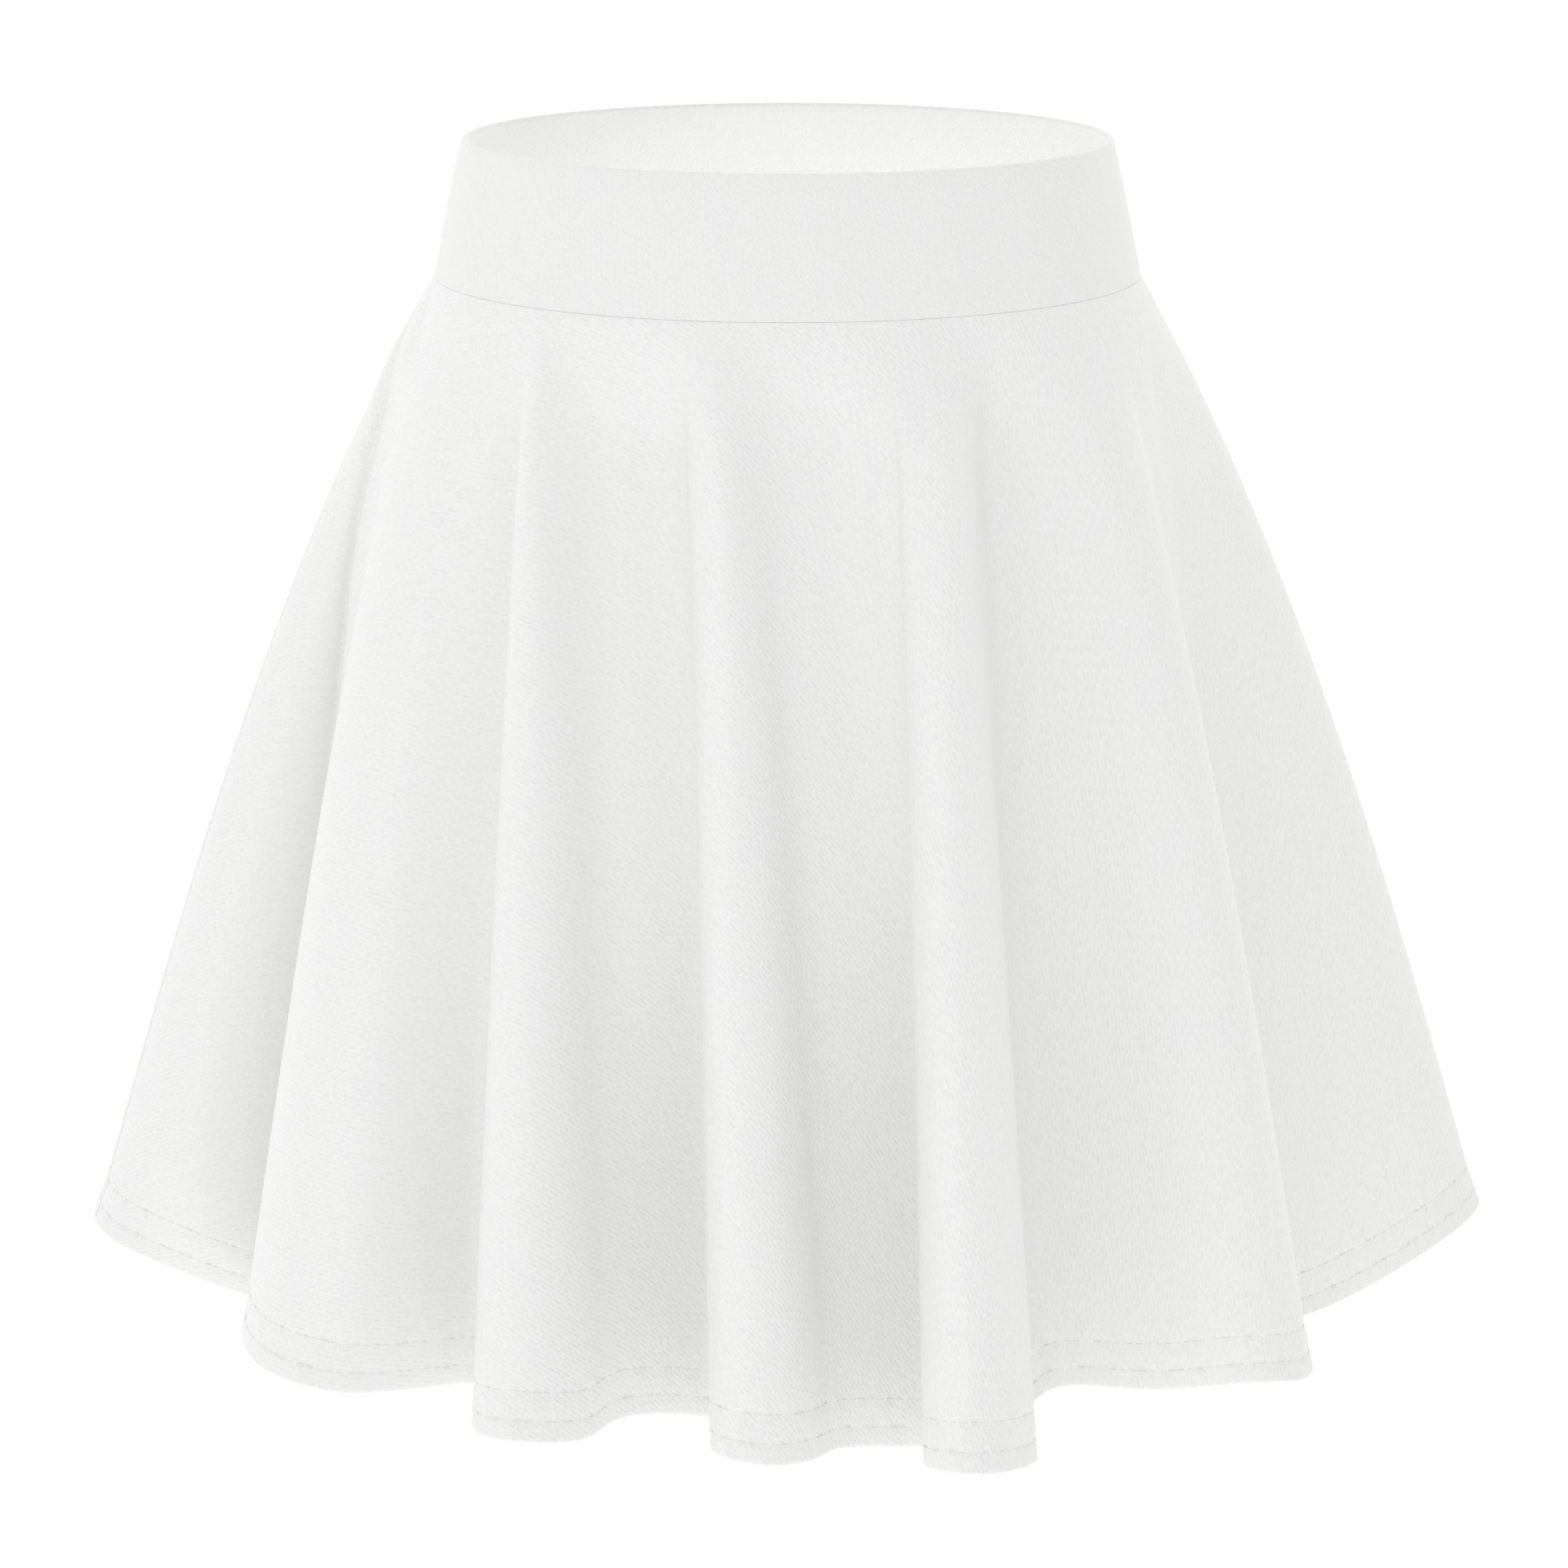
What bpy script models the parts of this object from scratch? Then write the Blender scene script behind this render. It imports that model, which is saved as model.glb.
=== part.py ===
"""An A-line mini skirt of crepe knit, filled out as it is worn, with nobody in it.

The skirt hangs round the Z axis. Its front faces -Y, and the origin is the middle of the
waist opening, level with the band's top edge. A bearing is an angle round the skirt in
degrees, from the front's middle towards +X. The front panel is cut as a sector of about 120
degrees and the back as one of about 110, with no darts or gathers, so all the fullness falls
into folds.
"""

import math
from collections import namedtuple

import bpy
import numpy as np

# Waistband: a folded double strip, an oval cone
WAIST_HALF_WIDTH = 0.1175
WAIST_HALF_DEPTH = 0.0885
SEAM_HALF_WIDTH = 0.1284
SEAM_HALF_DEPTH = 0.0993
BAND_DROP = 0.0498
BAND_WALL = 0.0026
BAND_FOLD = 0.0016  # how far below the top edge its rounded fold begins
BAND_COLUMNS = 44

# Skirt: one layer of cloth, hung from the waist seam down to the hem
CLOTH_LENGTH = 0.390  # down the cloth, from the waist seam to the hem
CLOTH_WALL = 0.0013
SIDE_ROUNDING = 0.39  # how far the skirt bells out below the seam, as a share of its flare
SIDE_ROUNDING_FALL = 0.20  # and how much less it does near the hem
HEM_HALF_WIDTH = 0.262  # the oval that the hem's folds run in and out of
HEM_HALF_DEPTH = 0.214
FOLDS_FORMED = 0.13  # share of the way down by which the folds have formed
RIDGE_TRAVEL = 0.139  # how far out a ridge comes, from the seam to the hem
HEM_LEVELLING = 0.5  # 0 leaves a hollow's hem as low as it falls, 1 lifts it level with a ridge's
HEM_TURN_UP = 0.018  # the stitched hem is stiffer and kicks out
HEM_KICK = 0.0012
SIDE_SEAM_BEARINGS = (-91.0, 91.0)

SEAM_GAP = 0.0003
SHARP_ANGLE = math.radians(50)
FACET_WIDTH = 0.014  # aimed for along the hem
FEWEST_FACETS = 2
MOST_FACETS = 7
ROW_SHARES = (0.05, 0.10, 0.16, 0.23, 0.33, 0.45, 0.58, 0.71, 0.84, 0.954, 1.0)

# A corner of a fold: its bearing and its reach from the Z axis at the hem, the bearing where
# the same line down the cloth leaves the waist seam, and how far the hem rides up there, in mm.
Corner = namedtuple("Corner", "bearing reach seam_bearing lift")

# A row for each fold, in order round the skirt: the foot of its left flank, its left edge,
# its crest, its right edge and the foot of its right flank. A hollow lies between each fold
# and the next.
Fold = namedtuple("Fold", "name left_foot left_edge crest right_edge right_foot")
FOLD_TABLE = [
    ("left_side", (-110, 0.214, -109, 0), (-103, 0.251, -103, 0), (-87, 0.265, -91, 0),
     (-78.3, 0.2359, -88.5, -1.9), (-79.3, 0.1994, -86.5, -12.5)),
    ("front_b", (-74.2, 0.2016, -85, 0), (-52, 0.243, -83, 0), (-43.5, 0.244, -73, -1),
     (-40, 0.2316, -62, 0.4), (-36.3, 0.1923, -47.5, 2.3)),
    ("front_c", (-33.6, 0.1921, -45, 3), (-27.4, 0.2343, -43.8, -0.4), (-21.9, 0.2387, -41.2, -0.4),
     (-18.5, 0.2119, -37.3, -2.8), (-17.1, 0.1946, -33, 0.8)),
    ("front_d", (-8.4, 0.1698, -18, -3.4), (-6.7, 0.2215, -15.5, -0.3), (-1.4, 0.2311, -11.8, -2.4),
     (3.1, 0.2123, -8, -4.4), (5.8, 0.197, -4.6, -5.7)),
    ("front_e", (15.4, 0.1908, 13, -9.5), (11.1, 0.2385, 17, -2.1), (14.3, 0.2621, 22, -0.7),
     (21.3, 0.2339, 25, -5.9), (25.5, 0.1928, 28.5, -9.7)),
    ("front_f", (32.1, 0.1748, 32, -0.1), (39.4, 0.1979, 40, -0.8), (43.4, 0.234, 48, 3.3),
     (49.8, 0.2417, 58, -0.8), (63, 0.2026, 61.5, 0)),
    ("right_side", (75.1, 0.2019, 63.5, -14.1), (82.6, 0.2391, 80, -5.7), (87.1, 0.2606, 86.8, 0),
     (93, 0.2655, 93, 0), (104, 0.222, 104, 0)),
    ("back_h", (110, 0.216, 110, 0), (114, 0.242, 112, 0), (118.6, 0.2491, 115.8, 0),
     (123, 0.245, 120, 0), (127, 0.208, 124, 0)),
    ("back_i", (133, 0.2, 131, 0), (136, 0.236, 134, 0), (141.1, 0.2439, 137, 0),
     (146, 0.239, 140, 0), (148, 0.204, 143, 0)),
    ("back_j", (156, 0.196, 158, 0), (159, 0.226, 160, 0), (164.8, 0.2364, 163.8, 0),
     (170, 0.235, 168, 0), (171, 0.208, 171, 0)),
    ("back_k", (179, 0.203, 183, 0), (180, 0.238, 186, 0), (184.8, 0.2492, 189.4, 0),
     (190, 0.247, 193, 0), (193, 0.205, 197, 0)),
    ("back_l", (201, 0.198, 207, 0), (207, 0.224, 212, 0), (213.5, 0.2395, 215.7, 0),
     (219, 0.243, 219, 0), (222, 0.212, 222, 0)),
    ("back_m", (230, 0.206, 231, 0), (233, 0.238, 234, 0), (237.5, 0.2477, 238, 0),
     (242, 0.246, 242, 0), (245, 0.218, 245, 0)),
]
FOLDS = [Fold(name, *(Corner(*corner) for corner in corners)) for name, *corners in FOLD_TABLE]


def on_oval(half_width, half_depth, bearings):
    """Points of an oval at these bearings, as an (n, 2) array."""
    turn = np.radians(bearings)
    return np.stack([half_width * np.sin(turn), -half_depth * np.cos(turn)], axis=-1)


def closed_spline(knots, ends):
    """A smooth closed curve through the knots, as a function of (span, share).

    `ends` is what each column gains in one whole turn, such as 360 for a bearing.
    """
    count = len(knots)
    following = np.roll(knots, -1, axis=0)
    following[-1] += ends
    step = following - knots
    width = np.sqrt(np.hypot(step[:, 0], step[:, 1]))
    before = np.roll(width, 1)
    system = np.zeros((count, count))
    wanted = np.zeros(knots.shape)
    slope = step / width[:, None]
    for k in range(count):
        system[k, k - 1] = width[k]
        system[k, k] = 2 * (width[k] + before[k])
        system[k, (k + 1) % count] = before[k]
        wanted[k] = 3 * (width[k] * slope[k - 1] + before[k] * slope[k])
    tangent = np.linalg.solve(system, wanted)
    past, ahead = np.roll(slope[:, 2], 1), slope[:, 2]
    tangent[:, 2] = 2 * past * ahead / (past + ahead)  # never doubles back along the seam

    def point(span, share):
        t = share[:, None]
        leaving = tangent[span] * width[span]
        arriving = tangent[(span + 1) % count] * width[span]
        return (
            (1 + 2 * t) * (1 - t) ** 2 * knots[span]
            + t * (1 - t) ** 2 * leaving
            + t**2 * (3 - 2 * t) * following[span]
            + t**2 * (t - 1) * arriving
        )

    return point


def hem_knots():
    """The folds' corners at the hem: x, y, the bearing at the waist seam and the lift."""
    corners = [corner for fold in FOLDS for corner in fold[1:]]
    bearing, reach, seam_bearing, lift = np.array(corners).T
    return np.column_stack([on_oval(1, 1, bearing) * reach[:, None], seam_bearing, lift / 1000])


def facets_between(length):
    return min(MOST_FACETS, max(FEWEST_FACETS, math.ceil(length / FACET_WIDTH)))


def cloth_columns():
    """Lines down the cloth, all round: x and y at the hem, the seam bearing and the lift."""
    knots = hem_knots()
    point = closed_spline(knots, np.array([0.0, 0.0, 360.0, 0.0]))
    columns = []
    for span in range(len(knots)):
        following = knots[(span + 1) % len(knots)]
        count = facets_between(np.hypot(*(following - knots[span])[:2]))
        columns.append(point(span, np.arange(count) / count))
    return np.concatenate(columns)


def belling(share):
    """How far out a point of the cloth has come, from 0 at the seam to 1 at the hem."""
    return share + share * (1 - share) * (SIDE_ROUNDING - SIDE_ROUNDING_FALL * share)


def forming(share):
    """How far a fold has formed, from 0 at the seam, where the cloth is still smooth, to 1."""
    begun = min(share / FOLDS_FORMED, 1)
    return begun**2 * (3 - 2 * begun)


def cloth_surface(columns, shares):
    """The outer face, (rows, columns, 3), at these shares of the way down the cloth."""
    top = on_oval(SEAM_HALF_WIDTH, SEAM_HALF_DEPTH, columns[:, 2])
    hem = columns[:, :2]
    smooth_hem = hem / np.hypot(*(hem / (HEM_HALF_WIDTH, HEM_HALF_DEPTH)).T)[:, None]
    travel = hem - top
    reach = np.hypot(*travel.T)
    # A hollow travels less far out than a ridge, so it hangs lower, but the knit gives.
    levelled = reach + HEM_LEVELLING * (RIDGE_TRAVEL - reach)
    fine = np.linspace(0, 1, 201)
    rate = np.diff(belling(fine)) / np.diff(fine)
    fall = np.sqrt(CLOTH_LENGTH**2 - np.outer(rate, levelled) ** 2) / len(rate)
    fallen = np.vstack([np.zeros(len(reach)), np.cumsum(fall, axis=0)])
    rows = []
    for share in shares:
        turned = np.clip((share - 1) * CLOTH_LENGTH / HEM_TURN_UP + 1, 0, 1)
        out = belling(share) + HEM_KICK * turned**2 / reach
        place = top + travel * out[:, None]
        place = place - (hem - smooth_hem) * belling(share) * (1 - forming(share))
        depth = np.array([np.interp(share, fine, column) for column in fallen.T])
        rows.append(np.column_stack([place, columns[:, 3] * share - BAND_DROP - depth]))
    return np.array(rows)


def outward_normals(surface):
    """Unit normals of a ring of columns, pointing away from the Z axis at the top."""
    around = np.roll(surface, -1, axis=1) - np.roll(surface, 1, axis=1)
    down = np.gradient(surface, axis=0)
    normal = np.cross(down, around)
    return normal / np.linalg.norm(normal, axis=2, keepdims=True)


def shortened(grid, gap):
    """The grid with its first and last columns drawn in by the gap."""
    first = grid[:, 1] - grid[:, 0]
    last = grid[:, -2] - grid[:, -1]
    grid = grid.copy()
    grid[:, 0] += gap * first / np.linalg.norm(first, axis=1, keepdims=True)
    grid[:, -1] += gap * last / np.linalg.norm(last, axis=1, keepdims=True)
    return grid


def wall_faces(corners, columns):
    """Quads round a wall of `columns` sections, and those that close its two ends."""
    faces = []
    for c in range(columns - 1):
        for r in range(corners):
            a = c * corners + r
            b = c * corners + (r + 1) % corners
            faces.append((a, b, b + corners, a + corners))
    last = (columns - 1) * corners
    for r in range(corners // 2 - 1):
        across = (r, r + 1, corners - 2 - r, corners - 1 - r)
        faces.append(tuple(reversed(across)))
        faces.append(tuple(last + corner for corner in across))
    return faces


def wall_object(name, sections, material):
    """A closed wall from its sections, (corners, columns, 3). A section runs down the outer
    face and back up the inner one, and the two faces have a corner each at every level."""
    sections = shortened(sections, SEAM_GAP / 2)
    corners, columns = sections.shape[:2]
    points = sections.transpose(1, 0, 2).reshape(-1, 3)
    mesh = bpy.data.meshes.new(name)
    mesh.from_pydata([tuple(p) for p in points], [], wall_faces(corners, columns))
    mesh.validate()
    mesh.materials.append(material)
    mesh.shade_smooth()
    mesh.set_sharp_from_angle(angle=SHARP_ANGLE)
    piece = bpy.data.objects.new(name, mesh)
    bpy.context.scene.collection.objects.link(piece)


def ring_span(bearings, start, end):
    """Column indices from the one nearest the start bearing to the one nearest the end."""
    twice_round = np.concatenate([bearings, bearings + 360])
    first = int(np.argmin(np.abs(twice_round - start)))
    last = int(np.argmin(np.abs(twice_round - end)))
    return np.arange(first, last + 1) % len(bearings)


def build_skirt(material):
    columns = cloth_columns()
    shares = (SEAM_GAP / 2 / CLOTH_LENGTH,) + ROW_SHARES
    outer = cloth_surface(columns, shares)
    inner = outer - CLOTH_WALL * outward_normals(outer)
    bearings = columns[:, 2]
    left, right = SIDE_SEAM_BEARINGS
    sections = np.concatenate([outer, inner[::-1]])
    for name, start, end in (("skirt_front", left, right), ("skirt_back", right, left + 360)):
        wall_object(name, sections[:, ring_span(bearings, start, end)], material)


def band_profile():
    """The band's section, as (drop below the top edge, inset from the outer face): down the
    outer face, up the inner one, and over the rounded fold at the top."""
    levels = (BAND_FOLD, 0.018, 0.034, BAND_DROP - SEAM_GAP / 2)
    outside = [(drop, 0.0) for drop in levels]
    inside = [(drop, BAND_WALL) for drop in reversed(levels)]
    crown = [(BAND_FOLD * 0.3, BAND_WALL * 0.87), (0.0, BAND_WALL * 0.62)]
    return [(0.0, BAND_WALL * 0.38), (BAND_FOLD * 0.3, BAND_WALL * 0.13)] + outside + inside + crown


def band_sections(bearings):
    """The band's section at each bearing, as (corners, bearings, 3)."""
    corners = []
    for drop, inset in band_profile():
        share = drop / BAND_DROP
        half_width = WAIST_HALF_WIDTH + (SEAM_HALF_WIDTH - WAIST_HALF_WIDTH) * share - inset
        half_depth = WAIST_HALF_DEPTH + (SEAM_HALF_DEPTH - WAIST_HALF_DEPTH) * share - inset
        place = on_oval(half_width, half_depth, bearings)
        corners.append(np.column_stack([place, np.full(len(bearings), -drop)]))
    return np.array(corners)


def build_band(material):
    left, right = SIDE_SEAM_BEARINGS
    halves = (("waistband_front", left, right), ("waistband_back", right, left + 360))
    for name, start, end in halves:
        bearings = np.linspace(start, end, BAND_COLUMNS + 1)
        wall_object(name, band_sections(bearings), material)


def knit_material():
    material = bpy.data.materials.new("white_crepe_knit")
    material.use_nodes = True
    shader = material.node_tree.nodes["Principled BSDF"]
    shader.inputs["Base Color"].default_value = (0.86, 0.86, 0.84, 1)
    shader.inputs["Roughness"].default_value = 0.85
    shader.inputs["Metallic"].default_value = 0.0
    return material


def main():
    for thing in list(bpy.data.objects):
        bpy.data.objects.remove(thing, do_unlink=True)
    knit = knit_material()
    build_band(knit)
    build_skirt(knit)


main()
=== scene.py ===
import math

import bpy
import numpy as np
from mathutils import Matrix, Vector


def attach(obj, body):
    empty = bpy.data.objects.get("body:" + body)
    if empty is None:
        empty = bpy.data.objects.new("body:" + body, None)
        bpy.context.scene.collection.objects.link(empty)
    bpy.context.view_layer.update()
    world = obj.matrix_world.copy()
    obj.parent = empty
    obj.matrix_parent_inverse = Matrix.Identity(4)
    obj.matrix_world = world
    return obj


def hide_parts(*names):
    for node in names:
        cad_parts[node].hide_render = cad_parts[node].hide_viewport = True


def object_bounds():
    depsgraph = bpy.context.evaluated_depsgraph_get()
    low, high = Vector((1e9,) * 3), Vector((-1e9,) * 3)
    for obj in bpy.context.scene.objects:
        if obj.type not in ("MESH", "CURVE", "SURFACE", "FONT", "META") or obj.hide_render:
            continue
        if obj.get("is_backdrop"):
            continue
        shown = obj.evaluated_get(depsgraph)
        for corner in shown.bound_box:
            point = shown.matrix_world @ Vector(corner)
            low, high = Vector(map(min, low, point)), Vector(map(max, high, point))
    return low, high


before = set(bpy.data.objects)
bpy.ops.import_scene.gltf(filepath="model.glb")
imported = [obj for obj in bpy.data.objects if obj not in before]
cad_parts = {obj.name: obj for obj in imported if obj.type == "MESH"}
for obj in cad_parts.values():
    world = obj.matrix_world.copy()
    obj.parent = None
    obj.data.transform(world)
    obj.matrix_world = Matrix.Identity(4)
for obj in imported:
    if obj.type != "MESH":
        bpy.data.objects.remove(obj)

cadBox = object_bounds()
scene = bpy.context.scene
print("frame loaded:", ", ".join(sorted(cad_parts)))

# The band is an oval cone round Z. Sizes are in metres throughout.
band = {
    "topHalfWidth": 0.1175,
    "topHalfDepth": 0.0885,
    "seamHalfWidth": 0.1284,
    "seamHalfDepth": 0.0993,
    "drop": 0.0498,
    "wall": 0.0026,
    "foldRadius": 0.00125,
    "seamRadius": 0.00012,
    "seamGap": 0.00002,
    "columns": 170,
    "profileCuts": 5,
    "roundingSteps": 5,
    "bulge": 0.0004,
    "unevenness": 0.0005,
    "unevennessScale": 19.0,
    "flatHeight": 0.051,
    "taperShare": 0.95,
}

# The panels hang from the waist seam. The same form as the solids, at a finer step.
cloth = {
    "length": 0.390,
    "wall": 0.0012,
    "sideRounding": 0.39,
    "sideRoundingFall": 0.20,
    "hemHalfWidth": 0.262,
    "hemHalfDepth": 0.214,
    "foldsFormed": 0.13,
    "softAtTop": 0.0030,
    "softAtHem": 0.0026,
    "ridgeTravel": 0.139,
    "hemLevelling": 0.5,
    "knitFan": 1.3,
    "hemTurnUp": 0.018,
    "hemKick": 0.0012,
    "sideSeams": (-91.0, 91.0),
    "columnStep": 0.0019,
    "rowStep": 0.0056,
    "innerRowStep": 0.0090,
    "seamGap": 0.0001,
    "fallSteps": 200,
}

# A row for each fold, in order round the skirt: the foot of its left flank, its left edge, its
# crest, its right edge and the foot of its right flank. Each is a bearing and a reach at the
# hem, the bearing where the same line down the cloth leaves the waist seam, and how many
# millimetres the hem rides up there. Bearings are in degrees from the front's middle to +X.
foldTable = [
    ("leftSide", (-110, 0.214, -109, 0), (-103, 0.251, -103, 0), (-87, 0.265, -91, 0),
     (-78.3, 0.2359, -88.5, -1.9), (-79.3, 0.1994, -86.5, -12.5)),
    ("frontB", (-74.2, 0.2016, -85, 0), (-52, 0.243, -83, 0), (-43.5, 0.244, -73, -1),
     (-40, 0.2316, -62, 0.4), (-36.3, 0.1923, -47.5, 2.3)),
    ("frontC", (-33.6, 0.1921, -45, 3), (-27.4, 0.2343, -43.8, -0.4), (-21.9, 0.2387, -41.2, -0.4),
     (-18.5, 0.2119, -37.3, -2.8), (-17.1, 0.1946, -33, 0.8)),
    ("frontD", (-8.4, 0.1698, -18, -3.4), (-6.7, 0.2215, -15.5, -0.3), (-1.4, 0.2311, -11.8, -2.4),
     (3.1, 0.2123, -8, -4.4), (5.8, 0.197, -4.6, -5.7)),
    ("frontE", (15.4, 0.1908, 13, -9.5), (11.1, 0.2385, 17, -2.1), (14.3, 0.2621, 22, -0.7),
     (21.3, 0.2339, 25, -5.9), (25.5, 0.1928, 28.5, -9.7)),
    ("frontF", (32.1, 0.1748, 32, -0.1), (39.4, 0.1979, 40, -0.8), (43.4, 0.234, 48, 3.3),
     (49.8, 0.2417, 58, -0.8), (63, 0.2026, 61.5, 0)),
    ("rightSide", (75.1, 0.2019, 63.5, -14.1), (82.6, 0.2391, 80, -5.7), (87.1, 0.2606, 86.8, 0),
     (93, 0.2655, 93, 0), (104, 0.222, 104, 0)),
    ("backH", (110, 0.216, 110, 0), (114, 0.242, 112, 0), (118.6, 0.2491, 115.8, 0),
     (123, 0.245, 120, 0), (127, 0.208, 124, 0)),
    ("backI", (133, 0.2, 131, 0), (136, 0.236, 134, 0), (141.1, 0.2439, 137, 0),
     (146, 0.239, 140, 0), (148, 0.204, 143, 0)),
    ("backJ", (156, 0.196, 158, 0), (159, 0.226, 160, 0), (164.8, 0.2364, 163.8, 0),
     (170, 0.235, 168, 0), (171, 0.208, 171, 0)),
    ("backK", (179, 0.203, 183, 0), (180, 0.238, 186, 0), (184.8, 0.2492, 189.4, 0),
     (190, 0.247, 193, 0), (193, 0.205, 197, 0)),
    ("backL", (201, 0.198, 207, 0), (207, 0.224, 212, 0), (213.5, 0.2395, 215.7, 0),
     (219, 0.243, 219, 0), (222, 0.212, 222, 0)),
    ("backM", (230, 0.206, 231, 0), (233, 0.238, 234, 0), (237.5, 0.2477, 238, 0),
     (242, 0.246, 242, 0), (245, 0.218, 245, 0)),
]

# Soft creases that rise or sink along a line down the cloth: the seam bearings their line
# starts and ends at, where down the cloth they start, are fullest and end (shares of its
# length), how far they spread to each side and how far they stand out, in metres.
creaseTable = [
    ("ridgeC", -41.0, -41.0, 0.0, 0.10, 0.50, 0.0085, 0.0040),
    ("ridgeD", -11.0, -12.0, 0.0, 0.10, 0.50, 0.0068, 0.0048),
    ("ridgeE", 24.0, 22.0, 0.0, 0.10, 0.50, 0.0082, 0.0056),
    ("hollowBC", -46.0, -46.0, 0.0, 0.12, 0.65, 0.0060, -0.0028),
    ("hollowCD", -24.0, -22.0, 0.0, 0.14, 0.60, 0.0140, -0.0078),
    ("hollowDE", 5.0, 5.0, 0.0, 0.14, 0.60, 0.0125, -0.0064),
    ("fillD", -17.5, -17.0, 0.0, 0.18, 0.50, 0.0060, 0.0038),
    ("fillE", 13.5, 13.5, 0.0, 0.16, 0.62, 0.0070, 0.0068),
    ("troughOne", -35.0, -33.0, 0.0, 0.20, 0.75, 0.0070, -0.0045),
    ("troughTwo", -2.0, -4.5, 0.0, 0.16, 0.50, 0.0065, -0.0020),
    ("troughThree", 34.0, 29.5, 0.0, 0.10, 0.65, 0.0065, -0.0056),
    ("ridgeF", 49.0, 51.0, 0.0, 0.14, 0.60, 0.0120, 0.0040),
    ("fillA", -86.0, -86.0, 0.0, 0.12, 0.45, 0.0080, 0.0056),
    ("fillAB", -85.5, -85.5, 0.08, 0.30, 0.90, 0.0080, 0.0055),
    ("fillG", 62.5, 62.5, 0.0, 0.12, 0.40, 0.0070, 0.0036),
]


def onOval(halfWidth, halfDepth, bearings):
    turn = np.radians(bearings)
    return np.stack([halfWidth * np.sin(turn), -halfDepth * np.cos(turn)], axis=-1)


def smoothStep(share):
    share = np.clip(share, 0, 1)
    return share * share * (3 - 2 * share)


def closedSpline(knots, ends):
    # a smooth closed curve through the knots, as a function of (span, share)
    count = len(knots)
    following = np.roll(knots, -1, axis=0)
    following[-1] += ends
    step = following - knots
    width = np.sqrt(np.hypot(step[:, 0], step[:, 1]))
    before = np.roll(width, 1)
    system = np.zeros((count, count))
    wanted = np.zeros(knots.shape)
    slope = step / width[:, None]
    for k in range(count):
        system[k, k - 1] = width[k]
        system[k, k] = 2 * (width[k] + before[k])
        system[k, (k + 1) % count] = before[k]
        wanted[k] = 3 * (width[k] * slope[k - 1] + before[k] * slope[k])
    tangent = np.linalg.solve(system, wanted)
    # harmonic means keep the seam bearings climbing all the way round
    past, ahead = np.roll(slope[:, 2], 1), slope[:, 2]
    tangent[:, 2] = 2 * past * ahead / (past + ahead)

    def point(span, share):
        t = share[:, None]
        leaving = tangent[span] * width[span]
        arriving = tangent[(span + 1) % count] * width[span]
        return (
            (1 + 2 * t) * (1 - t) ** 2 * knots[span]
            + t * (1 - t) ** 2 * leaving
            + t**2 * (3 - 2 * t) * following[span]
            + t**2 * (t - 1) * arriving
        )

    return point


def clothColumns():
    # lines down the cloth all round: x and y at the hem, the bearing at the seam and the lift
    corners = np.array([corner for fold in foldTable for corner in fold[1:]])
    bearing, reach, seamBearing, lift = corners.T
    knots = np.column_stack([onOval(1, 1, bearing) * reach[:, None], seamBearing, lift / 1000])
    point = closedSpline(knots, np.array([0.0, 0.0, 360.0, 0.0]))
    columns = []
    for span in range(len(knots)):
        chord = np.hypot(*(knots[(span + 1) % len(knots)] - knots[span])[:2])
        count = max(4, math.ceil(chord / cloth["columnStep"]))
        columns.append(point(span, np.arange(count) / count))
    return np.concatenate(columns)


def belling(share):
    rounding = cloth["sideRounding"] - cloth["sideRoundingFall"] * share
    return share + share * (1 - share) * rounding


def softened(change, ring, spread):
    # evens out a change round a closed ring of points over this distance along it
    step = np.linalg.norm(np.roll(ring, -1, axis=0) - ring, axis=1)
    along = np.concatenate([[0], np.cumsum(step)[:-1]])
    apart = np.abs(along[:, None] - along[None, :])
    apart = np.minimum(apart, step.sum() - apart)
    weight = np.exp(-0.5 * (apart / spread) ** 2) * (step + np.roll(step, 1))
    return (weight @ change) / weight.sum(axis=1, keepdims=True)


def creased(place, columns, share):
    # the creases' push outwards or inwards at one level
    step = np.linalg.norm(np.diff(place, axis=0), axis=1)
    along = np.concatenate([[0], np.cumsum(step)])
    outward = place / np.linalg.norm(place, axis=1, keepdims=True)
    push = np.zeros(len(place))
    for _, atStart, atEnd, start, fullest, end, spread, height in creaseTable:
        grown = smoothStep((share - start) / (fullest - start))
        left = 1 - smoothStep((share - fullest) / (end - fullest))
        bearing = np.interp(share, [start, end], [atStart, atEnd])
        middle = np.interp(bearing, columns[:, 2], along)
        push += height * grown * left * np.exp(-0.5 * ((along - middle) / spread) ** 2)
    return outward * push[:, None]


def clothLevel(columns, share, fallen, fine):
    # one level of the cloth's outer face, at this share of the way down it
    top = onOval(band["seamHalfWidth"], band["seamHalfDepth"], columns[:, 2])
    hem = columns[:, :2]
    smoothHem = hem / np.hypot(*(hem / (cloth["hemHalfWidth"], cloth["hemHalfDepth"])).T)[:, None]
    travel = hem - top
    turned = np.clip((share - 1) * cloth["length"] / cloth["hemTurnUp"] + 1, 0, 1)
    out = belling(share) + cloth["hemKick"] * turned**2 / np.hypot(*travel.T)
    forming = smoothStep(share / cloth["foldsFormed"])
    folds = (hem - smoothHem) * belling(share)
    place = top + travel * out[:, None]
    spread = cloth["softAtTop"] + (cloth["softAtHem"] - cloth["softAtTop"]) * share
    place += softened(folds, place, spread) * forming - folds
    place += creased(place, columns, share)
    depth = np.array([np.interp(share, fine, column) for column in fallen.T])
    return np.column_stack([place, columns[:, 3] * share - band["drop"] - depth])


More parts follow.
